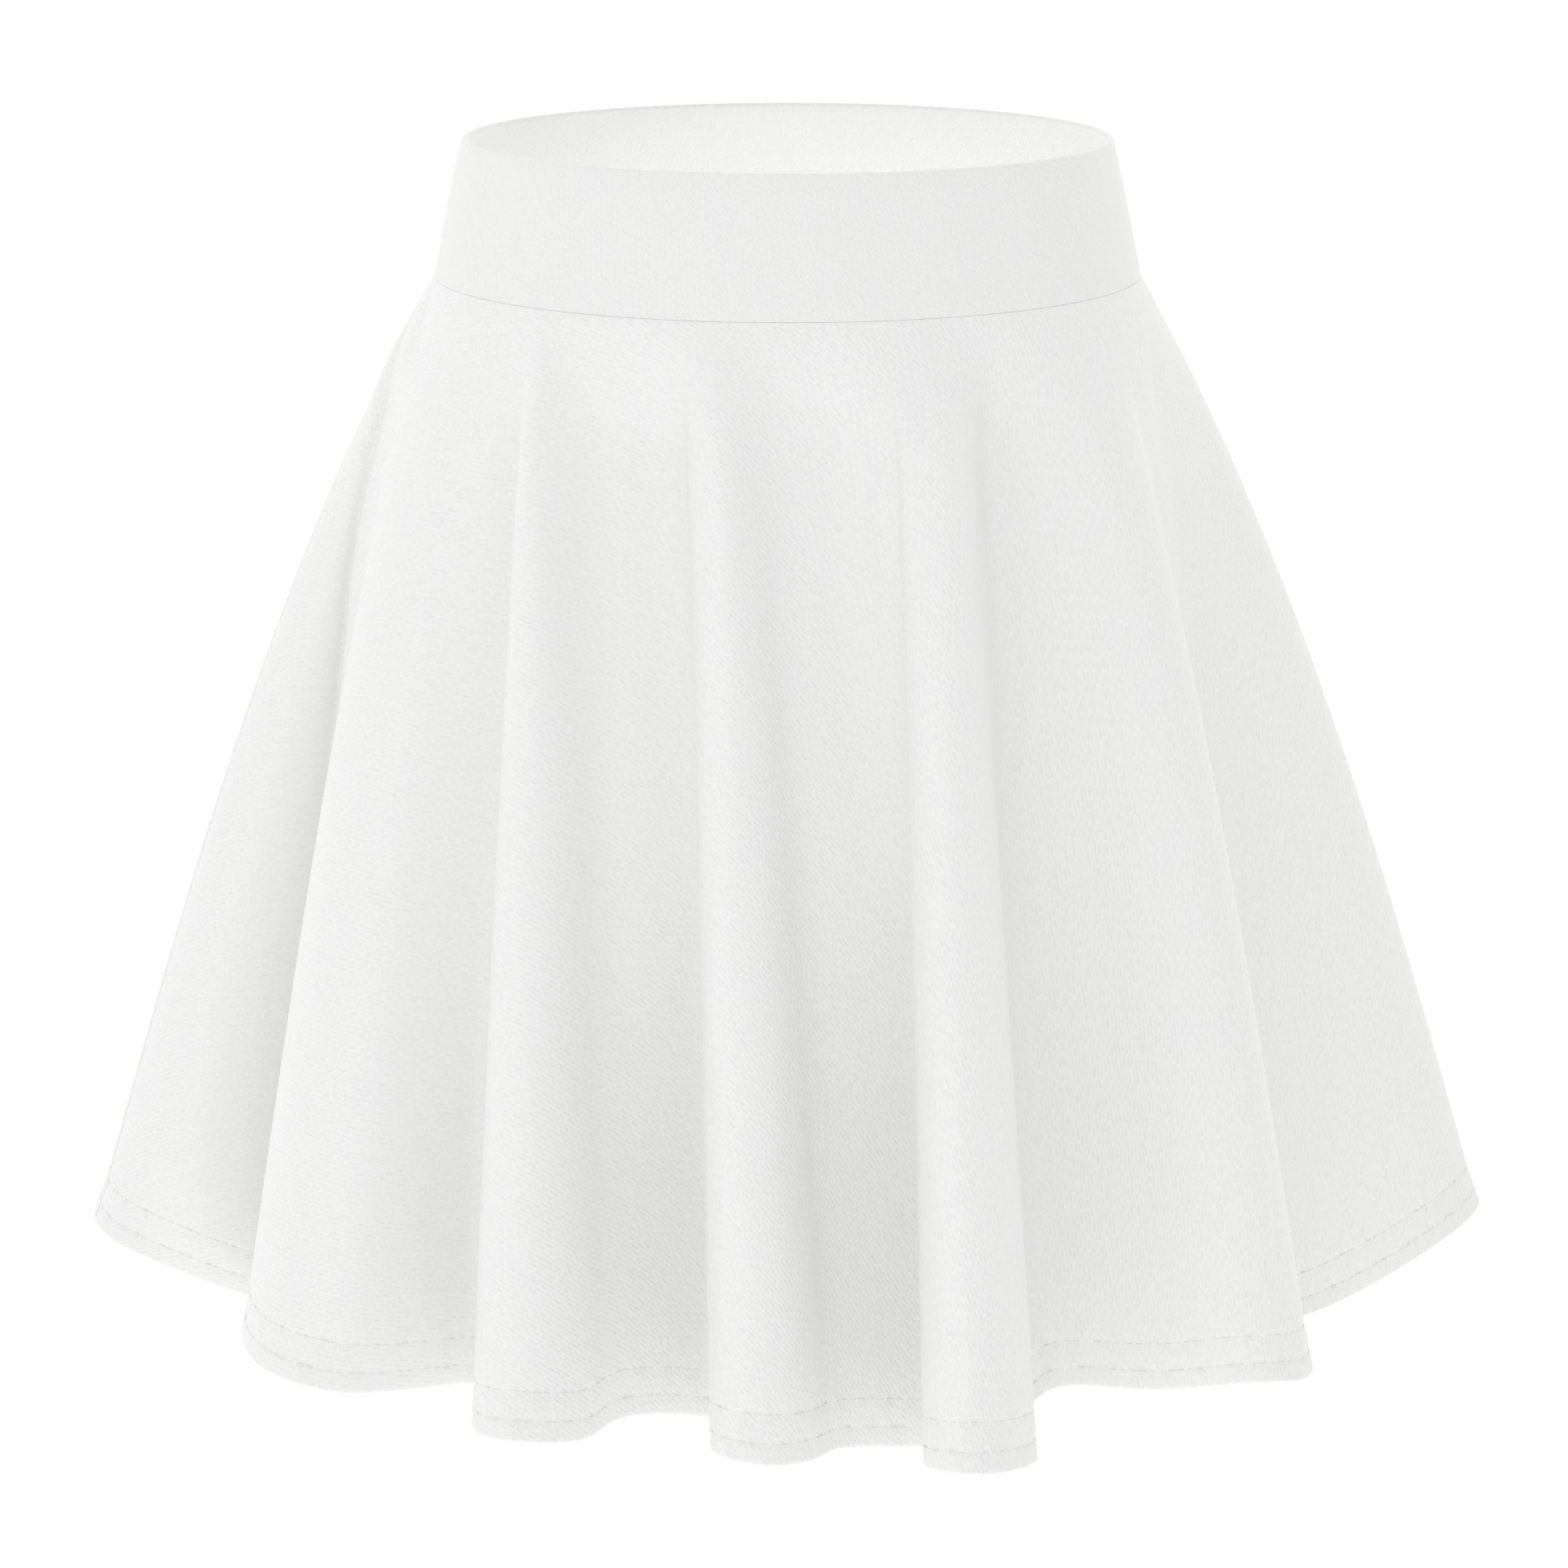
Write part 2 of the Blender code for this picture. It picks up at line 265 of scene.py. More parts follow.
def clothFall(columns):
    # how far each column has fallen below the seam, at fine steps down the cloth
    top = onOval(band["seamHalfWidth"], band["seamHalfDepth"], columns[:, 2])
    reach = np.hypot(*(columns[:, :2] - top).T)
    levelled = reach + cloth["hemLevelling"] * (cloth["ridgeTravel"] - reach)
    fine = np.linspace(0, 1, cloth["fallSteps"] + 1)
    rate = np.diff(belling(fine)) / np.diff(fine)
    fall = np.sqrt(cloth["length"] ** 2 - np.outer(rate, levelled) ** 2) / len(rate)
    return fine, np.vstack([np.zeros(len(reach)), np.cumsum(fall, axis=0)])


def aboveSeam(columns, height):
    # where the seam allowance lies, up the inside of the band's slope
    share = 1 - height / band["drop"]
    halfWidth = band["topHalfWidth"] + (band["seamHalfWidth"] - band["topHalfWidth"]) * share
    halfDepth = band["topHalfDepth"] + (band["seamHalfDepth"] - band["topHalfDepth"]) * share
    place = onOval(halfWidth, halfDepth, columns[:, 2])
    return np.column_stack([place, np.full(len(columns), -band["drop"] * share)])


def clothForm(columns, distances):
    # the outer face at these distances down from the seam: (levels, columns, 3)
    fine, fallen = clothFall(columns)
    levels = []
    for distance in distances:
        if distance < 0:
            levels.append(aboveSeam(columns, -distance))
            continue
        levels.append(clothLevel(columns, distance / cloth["length"], fallen, fine))
    return np.array(levels)


def unitNormals(form, distances):
    around = np.roll(form, -1, axis=1) - np.roll(form, 1, axis=1)
    down = np.gradient(form, np.array(distances), axis=0)
    normal = np.cross(down, around)
    return normal / np.linalg.norm(normal, axis=2, keepdims=True)


# How the cloth runs through its section, from the seam allowance's end down the outer face,
# round the hem and back up inside: distance down from the seam, and how far in, in metres.
seamRoll = [
    (-0.0080, 0.00275), (-0.0010, 0.00272), (-0.0002, 0.0026), (-0.0001, 0.0020),
    (-0.00005, 0.0012), (-0.00001, 0.00035), (0.00002, 0.00014), (0.00012, 0.00006),
    (0.00035, 0.00002), (0.0009, 0.0), (0.0018, 0.0), (0.0032, 0.0), (0.0052, 0.0),
    (0.0075, 0.0),
]
insideRoll = [
    (0.0075, 0.0012), (0.0034, 0.0013), (0.0020, 0.0018), (0.0010, 0.0027), (0.0004, 0.0034),
    (-0.0010, 0.0039), (-0.0080, 0.0039),
]
hem = {
    "edgeRadius": 0.0011,
    "edgeSteps": 6,
    "step": 0.0013,
    "fineAbove": 0.006,
    "thick": 0.0022,
    "turnUp": 0.0182,
    "turnUpStep": 0.0028,
    "turnUpRows": 6,
    "stitchRows": (0.0070, 0.0160),
    "groove": 0.00026,
    "grooveWidth": 0.0011,
    "pucker": 0.00014,
    "puckerLength": 0.0105,
    "puckerFrom": 0.003,
    "puckerFull": 0.004,
    "puckerTo": 0.017,
    "puckerFade": 0.007,
}
# The raw edge of the turn-up, inside: how far below the fold line, and how far in.
turnUpEdge = [(0.0004, 0.0022), (0.0, 0.0019), (-0.0002, 0.0014), (-0.0010, 0.0012)]


def clothSection():
    length, radius = cloth["length"], hem["edgeRadius"]
    upper = seamRoll[-1][0]
    hemTop = length - hem["turnUp"] - hem["fineAbove"]
    count = math.ceil((hemTop - upper) / cloth["rowStep"])
    outer = [(upper + (hemTop - upper) * k / count, 0.0) for k in range(1, count + 1)]
    count = math.ceil((length - radius - hemTop) / hem["step"])
    outer += [(hemTop + (length - radius - hemTop) * k / count, 0.0) for k in range(1, count + 1)]
    turns = [math.pi * k / hem["edgeSteps"] for k in range(1, hem["edgeSteps"])]
    edge = [(length - radius + radius * math.sin(t), radius * (1 - math.cos(t))) for t in turns]
    rows = range(hem["turnUpRows"])
    inside = [(length - radius - k * hem["turnUpStep"], hem["thick"]) for k in rows]
    fold = length - hem["turnUp"]
    inside += [(fold + below, depth) for below, depth in turnUpEdge]
    run = inside[-1][0] - insideRoll[0][0]
    count = math.ceil(run / cloth["innerRowStep"])
    inside += [(insideRoll[0][0] + run * k / count, cloth["wall"]) for k in range(count - 1, 0, -1)]
    return seamRoll + outer + edge + inside + insideRoll


def wallFaces(corners, columns):
    faces = []
    for c in range(columns - 1):
        for r in range(corners):
            a = c * corners + r
            b = c * corners + (r + 1) % corners
            faces.append((a, b, b + corners, a + corners))
    return faces


def endFaces(corners, columns, bend):
    # closes a wall's two cut ends: bend is the section's corner where it turns back inside
    faces = []
    last = (columns - 1) * corners
    low, high = bend, bend + 1
    while low > 0 or high < corners - 1:
        stepLow = low > 0 and (high >= corners - 1 or low / bend > (corners - high) / (corners - bend))
        if stepLow:
            face = (low - 1, low, high)
            low -= 1
        else:
            face = (low, high, high + 1)
            high += 1
        faces.append(tuple(reversed(face)))
        faces.append(tuple(last + corner for corner in face))
    return faces


def ringSpan(bearings, start, end):
    twiceRound = np.concatenate([bearings, bearings + 360])
    first = int(np.argmin(np.abs(twiceRound - start)))
    last = int(np.argmin(np.abs(twiceRound - end)))
    return np.arange(first, last + 1) % len(bearings)


def knitLay(form, distances, span):
    # each point's place in the flat panel, a sector of a ring, from its arc length at its level.
    # The knit is laid on a wider fan than the panel's own, as the photo's rows turn further.
    panel = form[:, span]
    step = np.linalg.norm(np.diff(panel, axis=1), axis=2)
    along = np.concatenate([np.zeros((len(panel), 1)), np.cumsum(step, axis=1)], axis=1)
    whole = along[:, -1:]
    seamRow = int(np.argmin(np.abs(np.array(distances))))
    angle = (whole[-1, 0] - whole[seamRow, 0]) / cloth["length"]
    radius = whole[seamRow, 0] / angle
    turn = (along / whole - 0.5) * angle * cloth["knitFan"]
    out = (radius / cloth["knitFan"] + np.array(distances))[:, None]
    return np.stack([out * np.sin(turn), -out * np.cos(turn)], axis=-1), angle, radius


def meshPiece(name, points, faces, material, flat):
    mesh = bpy.data.meshes.new(name)
    mesh.from_pydata(points.tolist(), [], faces)
    corner = np.zeros(len(mesh.loops), np.int32)
    mesh.loops.foreach_get("vertex_index", corner)
    layer = mesh.uv_layers.new(name="knitLay")
    layer.data.foreach_set("uv", flat[corner].astype(np.float32).ravel())
    mesh.materials.append(material)
    mesh.shade_smooth()
    piece = bpy.data.objects.new(name, mesh)
    scene.collection.objects.link(piece)
    return piece


def hemRelief(distances, along):
    # how far the stitched hem stands out or in at each point of the section
    relief = np.zeros(along.shape)
    up = cloth["length"] - distances
    for row in hem["stitchRows"]:
        relief -= hem["groove"] * np.exp(-(((up - row) / hem["grooveWidth"]) ** 2))[:, None]
    rising = smoothStep((up - hem["puckerFrom"]) / hem["puckerFull"])
    between = rising * (1 - smoothStep((up - hem["puckerTo"]) / hem["puckerFade"]))
    # slow waves of unlike lengths, so that no two puckers are alike
    wander = np.sin(along / 0.041) * 1.3 + np.sin(along / 0.0173 + 2.0) * 0.9
    wave = np.sin(2 * math.pi * along / hem["puckerLength"] + wander + up[:, None] * 120)
    wave += 0.6 * np.sin(2 * math.pi * along / (hem["puckerLength"] * 1.73) - up[:, None] * 160 + 1)
    return relief + hem["pucker"] * wave * between[:, None]


def skirtPanel(name, form, normals, levels, section, span, material):
    distances = np.array([distance for distance, _ in section])
    inset = np.array([depth for _, depth in section])
    row = np.array([levels.index(distance) for distance in distances])
    flat, angle, radius = knitLay(form, levels, span)
    hemLine = form[-1, span]
    step = np.linalg.norm(np.diff(hemLine, axis=0), axis=1)
    along = np.concatenate([[0], np.cumsum(step)])
    relief = hemRelief(distances, np.broadcast_to(along, (len(section), len(span))))
    points = form[row][:, span] + normals[row][:, span] * (relief - inset[:, None])[:, :, None]
    first = points[:, 1] - points[:, 0]
    last = points[:, -2] - points[:, -1]
    half = cloth["seamGap"] / 2
    points[:, 0] += half * first / np.linalg.norm(first, axis=1, keepdims=True)
    points[:, -1] += half * last / np.linalg.norm(last, axis=1, keepdims=True)
    corners, columns = points.shape[:2]
    bend = int(np.argmax(distances))
    faces = wallFaces(corners, columns) + endFaces(corners, columns, bend)
    places = points.transpose(1, 0, 2).reshape(-1, 3)
    uv = flat[row].transpose(1, 0, 2).reshape(-1, 2)
    piece = meshPiece(name, places, faces, material, uv)
    print(name, "cut: sector of", round(math.degrees(angle), 1), "degrees from", round(radius, 4),
          "m, hem", round(along[-1], 3), "m,", len(piece.data.polygons), "faces")
    return piece, angle, radius


class Wired:
    # a node's output, so that maths on it is written as an expression
    def __init__(self, graph, socket):
        self.graph = graph
        self.socket = socket

    def math(self, operation, *others):
        settings = {"operation": operation}
        node = self.graph.node("ShaderNodeMath", settings, dict(enumerate((self, *others))))
        return node[0]

    def __add__(self, other):
        return self.math("ADD", other)

    def __sub__(self, other):
        return self.math("SUBTRACT", other)

    def __rsub__(self, other):
        return self.graph.node("ShaderNodeMath", {"operation": "SUBTRACT"}, {0: other, 1: self})[0]

    def __mul__(self, other):
        return self.math("MULTIPLY", other)

    def __truediv__(self, other):
        return self.math("DIVIDE", other)

    def __pow__(self, other):
        return self.math("POWER", other)

    __radd__ = __add__
    __rmul__ = __mul__


class Outputs:
    def __init__(self, graph, made):
        self.graph = graph
        self.made = made

    def __getitem__(self, key):
        return Wired(self.graph, self.made.outputs[key])


class Graph:
    def __init__(self, tree):
        self.tree = tree

    def node(self, kind, settings=None, sockets=None):
        made = self.tree.nodes.new(kind)
        for setting, value in (settings or {}).items():
            setattr(made, setting, value)
        for key, value in (sockets or {}).items():
            if isinstance(value, Wired):
                self.tree.links.new(value.socket, made.inputs[key])
            else:
                made.inputs[key].default_value = value
        return Outputs(self, made)


# The knits' own colours; each colour is scaled down in the sunken dashes as painted shade.
skirtKnit = {
    "color": (0.850, 0.849, 0.846),
    "rowPitch": 0.0017,
    "dashPitch": 0.0052,
    "dashLength": 0.0048,
    "dashRadius": 0.00056,
    "turn": -45.0,
    "relief": 0.00015,
    "dashTone": 0.979,
    "roughness": 0.86,
}
bandKnit = {
    "color": (0.822, 0.821, 0.818),
    "rowPitch": 0.0013,
    "dashPitch": 0.0044,
    "dashLength": 0.0040,
    "dashRadius": 0.00040,
    "turn": -52.0,
    "relief": 0.00009,
    "dashTone": 0.978,
    "roughness": 0.86,
}

# What both knits share: how unevenly the dashes lie, the fuzz, the broad random change of tone and how
# much of the tint is the dashes' painted shade.
knitFinish = {
    "driftScale": 160.0,
    "drift": 0.0006,
    "stagger": 0.5,
    "rowSlip": 0.35,
    "dashSlip": 0.0006,
    "dashShorter": 0.0008,
    "dashRise": 0.0004,
    "shallowest": 0.6,
    "fuzzScale": 1700.0,
    "fuzz": 0.15,
    "broadScale": 14.0,
    "dashShare": 0.85,
    "specular": 0.25,
    "sheen": 0.25,
    "sheenRoughness": 0.5,
}


def knitMaterial(name, knit):
    # crepe knit: staggered rows of short sunken dashes, at one slant in the flat cut; the base colour is
    # darkened in the dashes as painted shade
    material = bpy.data.materials.new(name)
    material.use_nodes = True
    graph = Graph(material.node_tree)
    shader = material.node_tree.nodes["Principled BSDF"]
    place = graph.node("ShaderNodeUVMap", {"uv_map": "knitLay"})[0]
    drift = graph.node("ShaderNodeTexNoise", {}, {
        "Vector": place, "Scale": knitFinish["driftScale"], "Detail": 2.0,
    })
    shift = graph.node(
        "ShaderNodeVectorMath", {"operation": "MULTIPLY_ADD"},
        {0: drift["Color"], 1: (knitFinish["drift"], knitFinish["drift"], 0), 2: place},
    )[0]
    turned = graph.node(
        "ShaderNodeMapping", {"vector_type": "TEXTURE"},
        {"Vector": shift, "Rotation": (0, 0, math.radians(knit["turn"])),
         "Scale": (knit["dashPitch"], knit["rowPitch"], 1)},
    )[0]
    parts = graph.node("ShaderNodeSeparateXYZ", {}, {0: turned})
    across = parts["Y"]
    row = across.math("FLOOR")
    rowChance = graph.node("ShaderNodeTexWhiteNoise", {"noise_dimensions": "1D"}, {"W": row})[0]
    along = parts["X"] + row * knitFinish["stagger"] + rowChance * knitFinish["rowSlip"]
    cell = along.math("FLOOR")
    spot = graph.node("ShaderNodeCombineXYZ", {}, {"X": cell, "Y": row})[0]
    chance = graph.node("ShaderNodeTexWhiteNoise", {"noise_dimensions": "2D"}, {"Vector": spot})
    tone = graph.node("ShaderNodeSeparateColor", {}, {0: chance["Color"]})
    reach = knit["dashLength"] / 2 - knit["dashRadius"]
    sideways = (along - cell - 0.5) * knit["dashPitch"] + (tone["Red"] - 0.5) * knitFinish["dashSlip"]
    shorter = tone["Green"] * knitFinish["dashShorter"]
    past = (sideways.math("ABSOLUTE") - (reach - shorter)).math("MAXIMUM", 0.0)
    off = (across - row - 0.5) * knit["rowPitch"] + (tone["Blue"] - 0.5) * knitFinish["dashRise"]
    span = (past * past + off * off) / knit["dashRadius"] ** 2
    depth = knitFinish["shallowest"] + chance["Value"] * (1 - knitFinish["shallowest"])
    dash = (1 - span).math("MAXIMUM", 0.0) * depth
    fuzz = graph.node("ShaderNodeTexNoise", {}, {
        "Vector": place, "Scale": knitFinish["fuzzScale"], "Detail": 3.0,
    })
    height = fuzz["Fac"] * knitFinish["fuzz"] - dash
    bump = graph.node(
        "ShaderNodeBump", {}, {"Strength": 1.0, "Distance": knit["relief"], "Height": height}
    )[0]
    material.node_tree.links.new(bump.socket, shader.inputs["Normal"])
    broad = graph.node("ShaderNodeTexNoise", {}, {
        "Vector": place, "Scale": knitFinish["broadScale"], "Detail": 2.0,
    })
    # painted shade: the base colour darkens in the sunken dashes, mixed with a broad random change of tone
    shadeAndTone = dash * knitFinish["dashShare"] + broad["Fac"] * (1 - knitFinish["dashShare"])
    shadedTint = graph.node(
        "ShaderNodeMix", {"data_type": "RGBA"},
        {"Factor": shadeAndTone,
         6: (*knit["color"], 1), 7: (*(knit["dashTone"] * c for c in knit["color"]), 1)},
    )[2]
    material.node_tree.links.new(shadedTint.socket, shader.inputs["Base Color"])
    shader.inputs["Roughness"].default_value = knit["roughness"]
    shader.inputs["Specular IOR Level"].default_value = knitFinish["specular"]
    shader.inputs["Sheen Weight"].default_value = knitFinish["sheen"]
    shader.inputs["Sheen Roughness"].default_value = knitFinish["sheenRoughness"]
    return material


def newTree(name, inputs):
    tree = bpy.data.node_groups.new(name, "GeometryNodeTree")
    for title, kind in inputs:
        tree.interface.new_socket(name=title, in_out="INPUT", socket_type=kind)
    tree.interface.new_socket(name="Geometry", in_out="OUTPUT", socket_type="NodeSocketGeometry")
    return tree


def madeByNodes(name, tree, source, values):
    # runs the tree on the source's shape and keeps the result as a plain mesh
    modifier = source.modifiers.new("made", "NODES")
    modifier.node_group = tree
    for item in tree.interface.items_tree:
        if item.in_out == "INPUT" and item.name in values:
            modifier[item.identifier] = values[item.name]
    evaluated = source.evaluated_get(bpy.context.evaluated_depsgraph_get())
    mesh = bpy.data.meshes.new_from_object(evaluated)
    source.modifiers.remove(modifier)
    mesh.name = name
    mesh.shade_smooth()
    piece = bpy.data.objects.new(name, mesh)
    scene.collection.objects.link(piece)
    bpy.data.objects.remove(source)
    return piece


def waistbandTree():
    # a folded strip swept along half of the seam's oval, leaning in towards its top edge
    tree = newTree("waistbandForm", [
        ("Geometry", "NodeSocketGeometry"),
        ("Start Bearing", "NodeSocketFloat"),
        ("End Bearing", "NodeSocketFloat"),
        ("Half Width", "NodeSocketFloat"),
        ("Half Depth", "NodeSocketFloat"),
        ("Seam Height", "NodeSocketFloat"),
        ("Height", "NodeSocketFloat"),
        ("Wall", "NodeSocketFloat"),
        ("Fold Radius", "NodeSocketFloat"),
        ("Seam Radius", "NodeSocketFloat"),
        ("Lean", "NodeSocketFloat"),
        ("Columns", "NodeSocketInt"),
        ("Profile Cuts", "NodeSocketInt"),
        ("Bulge", "NodeSocketFloat"),
        ("Unevenness", "NodeSocketFloat"),
        ("Material", "NodeSocketMaterial"),
    ])
    graph = Graph(tree)
    given = graph.node("NodeGroupInput")
    rail = graph.node("GeometryNodeCurvePrimitiveLine")[0]
    rail = graph.node("GeometryNodeResampleCurve", {}, {"Curve": rail, "Count": given["Columns"]})[0]
    share = graph.node("GeometryNodeSplineParameter")["Factor"]
    bearing = given["Start Bearing"] + (given["End Bearing"] - given["Start Bearing"]) * share
    spot = graph.node("ShaderNodeCombineXYZ", {}, {
        "X": bearing.math("SINE") * given["Half Width"],
        "Y": bearing.math("COSINE") * given["Half Depth"] * -1,
        "Z": given["Seam Height"],
    })[0]
    rail = graph.node("GeometryNodeSetPosition", {}, {"Geometry": rail, "Position": spot})[0]
    rail = graph.node("GeometryNodeSetCurveNormal", {"mode": "Z_UP"}, {"Curve": rail})[0]
    length = graph.node("GeometryNodeSplineParameter")["Length"]
    kept = graph.node("GeometryNodeCaptureAttribute")
    kept.made.capture_items.new("FLOAT", "Along")
    tree.links.new(rail.socket, kept.made.inputs[0])
    tree.links.new(length.socket, kept.made.inputs[1])
    strip = graph.node("GeometryNodeCurvePrimitiveQuadrilateral", {}, {
        "Width": given["Wall"], "Height": given["Height"],
    })[0]
    corner = graph.node("ShaderNodeSeparateXYZ", {}, {0: graph.node("GeometryNodeInputPosition")[0]})
    atFold = corner["Y"].math("LESS_THAN", 0.0)
    rounding = given["Seam Radius"] + (given["Fold Radius"] - given["Seam Radius"]) * atFold
    strip = graph.node("GeometryNodeFilletCurve", {"mode": "POLY"}, {
        "Curve": strip, "Count": band["roundingSteps"], "Radius": rounding,
    })[0]
    strip = graph.node("GeometryNodeSubdivideCurve", {}, {
        "Curve": strip, "Cuts": given["Profile Cuts"],
    })[0]
    centre = graph.node("ShaderNodeCombineXYZ", {}, {
        "X": given["Wall"] * -0.5, "Y": given["Height"] * -0.5,
    })[0]
    strip = graph.node("GeometryNodeTransform", {}, {"Geometry": strip, "Translation": centre})[0]
    lean = graph.node("ShaderNodeCombineXYZ", {}, {"Z": given["Lean"] * -1})[0]
    strip = graph.node("GeometryNodeTransform", {}, {"Geometry": strip, "Rotation": lean})[0]
    form = graph.node("GeometryNodeCurveToMesh", {}, {
        "Curve": kept[0], "Profile Curve": strip, "Fill Caps": True,
    })[0]
    place = graph.node("GeometryNodeInputPosition")[0]
    parts = graph.node("ShaderNodeSeparateXYZ", {}, {0: place})
    rise = (parts["Z"] - given["Seam Height"]) / given["Height"]
    belly = (rise * math.pi).math("SINE").math("MAXIMUM", 0.0)
    ripple = graph.node("ShaderNodeTexNoise", {}, {
        "Vector": place, "Scale": band["unevennessScale"], "Detail": 1.0,
    })[0]
    push = belly * (given["Bulge"] + (ripple - 0.5) * given["Unevenness"] * 2)
    outward = graph.node("ShaderNodeVectorMath", {"operation": "NORMALIZE"}, {
        0: graph.node("ShaderNodeCombineXYZ", {}, {"X": parts["X"], "Y": parts["Y"]})[0],
    })[0]
    shift = graph.node("ShaderNodeVectorMath", {"operation": "SCALE"}, {0: outward, "Scale": push})[0]
    form = graph.node("GeometryNodeSetPosition", {}, {"Geometry": form, "Offset": shift})[0]
    flat = graph.node("ShaderNodeCombineXYZ", {}, {"X": kept[1], "Y": rise * given["Height"]})[0]
    form = graph.node(
        "GeometryNodeStoreNamedAttribute", {"data_type": "FLOAT2", "domain": "CORNER"},
        {"Geometry": form, "Name": "knitLay", "Value": flat},
    )[0]
    form = graph.node("GeometryNodeRealizeInstances", {}, {"Geometry": form})[0]
    form = graph.node("GeometryNodeSetMaterial", {}, {"Geometry": form, "Material": given["Material"]})
    tree.links.new(form[0].socket, graph.node("NodeGroupOutput").made.inputs[0])
    return tree


def blankSource(name):
    mesh = bpy.data.meshes.new(name)
    source = bpy.data.objects.new(name, mesh)
    scene.collection.objects.link(source)
    return source


def waistbandHalf(name, tree, start, end, material):
    lean = math.atan2(band["seamHalfWidth"] - band["topHalfWidth"], band["drop"])
    return madeByNodes(name, tree, blankSource(name + "Source"), {
        "Start Bearing": math.radians(start),
        "End Bearing": math.radians(end),
        "Half Width": band["seamHalfWidth"],
        "Half Depth": band["seamHalfDepth"],
        "Seam Height": -band["drop"] + band["seamGap"],
        "Height": band["drop"] / math.cos(lean),
        "Wall": band["wall"],
        "Fold Radius": band["foldRadius"],
        "Seam Radius": band["seamRadius"],
        "Lean": lean,
        "Columns": band["columns"],
        "Profile Cuts": band["profileCuts"],
        "Bulge": band["bulge"],
        "Unevenness": band["unevenness"],
        "Material": material,
    })


stitch = {
    "length": 0.0030,
    "pitch": 0.0038,
    "thread": 0.00027,
    "sunk": 0.00016,
    "shortest": 0.88,
    "longest": 1.1,
    "segments": 6,
    "rings": 5,
}


def stitchTree():
    # short rounded stitches laid end to end along a line
    tree = newTree("stitchRow", [
        ("Geometry", "NodeSocketGeometry"),
        ("Pitch", "NodeSocketFloat"),
        ("Stitch Length", "NodeSocketFloat"),
        ("Thread Radius", "NodeSocketFloat"),
        ("Seed", "NodeSocketInt"),
        ("Material", "NodeSocketMaterial"),
    ])
    graph = Graph(tree)
    given = graph.node("NodeGroupInput")
    line = graph.node("GeometryNodeMeshToCurve", {}, {"Mesh": given["Geometry"]})[0]
    spots = graph.node("GeometryNodeCurveToPoints", {"mode": "LENGTH"}, {
        "Curve": line, "Length": given["Pitch"],
    })
    ball = graph.node("GeometryNodeMeshUVSphere", {}, {
        "Segments": stitch["segments"], "Rings": stitch["rings"], "Radius": 1.0,
    })[0]
    size = graph.node("ShaderNodeCombineXYZ", {}, {
        "X": given["Thread Radius"], "Y": given["Thread Radius"], "Z": given["Stitch Length"] * 0.5,
    })[0]
    chance = graph.node("FunctionNodeRandomValue", {"data_type": "FLOAT"}, {
        2: stitch["shortest"], 3: stitch["longest"], "Seed": given["Seed"],
    })[1]
    size = graph.node("ShaderNodeVectorMath", {"operation": "SCALE"}, {0: size, "Scale": chance})[0]
    turn = graph.node("FunctionNodeAlignRotationToVector", {"axis": "Z"}, {"Vector": spots["Tangent"]})[0]
    row = graph.node("GeometryNodeInstanceOnPoints", {}, {
        "Points": spots["Points"], "Instance": ball, "Rotation": turn, "Scale": size,
    })[0]
    row = graph.node("GeometryNodeRealizeInstances", {}, {"Geometry": row})[0]
    row = graph.node("GeometryNodeSetMaterial", {}, {"Geometry": row, "Material": given["Material"]})
    tree.links.new(row[0].socket, graph.node("NodeGroupOutput").made.inputs[0])
    return tree


def hemStitches(name, tree, form, normals, levels, span, material, seed):
    # two lines along the hem's grooves, for the twin-needle rows
    mesh = bpy.data.meshes.new(name + "Lines")
    points, edges = [], []
    for up in hem["stitchRows"]:
        row = int(np.argmin(np.abs(np.array(levels) - (cloth["length"] - up))))
        line = form[row, span] - normals[row, span] * (hem["groove"] + stitch["sunk"] - stitch["thread"])
        base = len(points)
        points += line.tolist()
        edges += [(base + k, base + k + 1) for k in range(len(line) - 1)]
    mesh.from_pydata(points, edges, [])
    source = bpy.data.objects.new(name + "Source", mesh)
    scene.collection.objects.link(source)
    return madeByNodes(name, tree, source, {
        "Pitch": stitch["pitch"],
        "Stitch Length": stitch["length"],
        "Thread Radius": stitch["thread"],
        "Seed": seed,
        "Material": material,
    })


# The thread's darker tone is painted shade, as if the stitches sat sunk in shadow; a fine noise mixes it
# with the cloth's own tone.
threadFinish = {
    "darker": (0.78, 0.78, 0.77),
    "lighter": (0.85, 0.85, 0.84),
    "plyScale": 2600.0,
    "roughness": 0.6,
    "sheen": 0.2,
}


def threadMaterial():
    material = bpy.data.materials.new("whiteThread")
    material.use_nodes = True
    graph = Graph(material.node_tree)
    shader = material.node_tree.nodes["Principled BSDF"]
    place = graph.node("ShaderNodeTexCoord")["Object"]
    plyShade = graph.node("ShaderNodeTexNoise", {}, {
        "Vector": place, "Scale": threadFinish["plyScale"], "Detail": 1.0,
    })
    # painted shade: the thread is darkened below the cloth's tone, in a fine noise
    shadedTint = graph.node("ShaderNodeMix", {"data_type": "RGBA"}, {
        "Factor": plyShade["Fac"], 6: (*threadFinish["darker"], 1), 7: (*threadFinish["lighter"], 1),
    })[2]
    material.node_tree.links.new(shadedTint.socket, shader.inputs["Base Color"])
    shader.inputs["Roughness"].default_value = threadFinish["roughness"]
    shader.inputs["Sheen Weight"].default_value = threadFinish["sheen"]
    return material


panelKnit = knitMaterial("crepeKnit", skirtKnit)
waistKnit = knitMaterial("waistbandKnit", bandKnit)
thread = threadMaterial()

section = clothSection()
levels = sorted({distance for distance, _ in section})
columns = clothColumns()
form = clothForm(columns, levels)
normals = unitNormals(form, levels)
print("cloth form:", form.shape)

